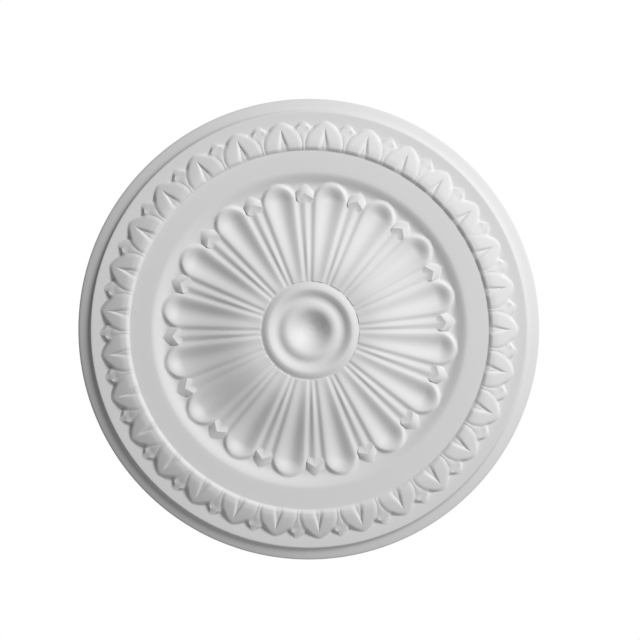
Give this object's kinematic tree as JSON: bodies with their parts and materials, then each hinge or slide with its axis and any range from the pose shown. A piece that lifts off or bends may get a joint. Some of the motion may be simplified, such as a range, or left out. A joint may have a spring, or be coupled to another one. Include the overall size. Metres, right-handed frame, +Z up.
{
  "type": "ceiling rose",
  "caption": "Round moulded ceiling rose in white, with a dished boss, a flower of fluted petals, a plain band and a border of leaves inside a stepped rim.",
  "frame": {"origin": "centre of the flat back face, which is glued or screwed to the ceiling", "axes": "-Y out of the ornamented face, towards the room; +Y out of the flat back, into the ceiling; +Z up as in the picture, so the rose stands upright, and a quarter turn about X puts its back on a ceiling"},
  "size_m": [0.4698, 0.0322, 0.47],
  "materials": {
    "white_paint": "smooth matt white primer on moulded rigid foam"
  },
  "bodies": {
    "root": {"ceiling_rose": "white_paint"}
  },
  "joints": []
}
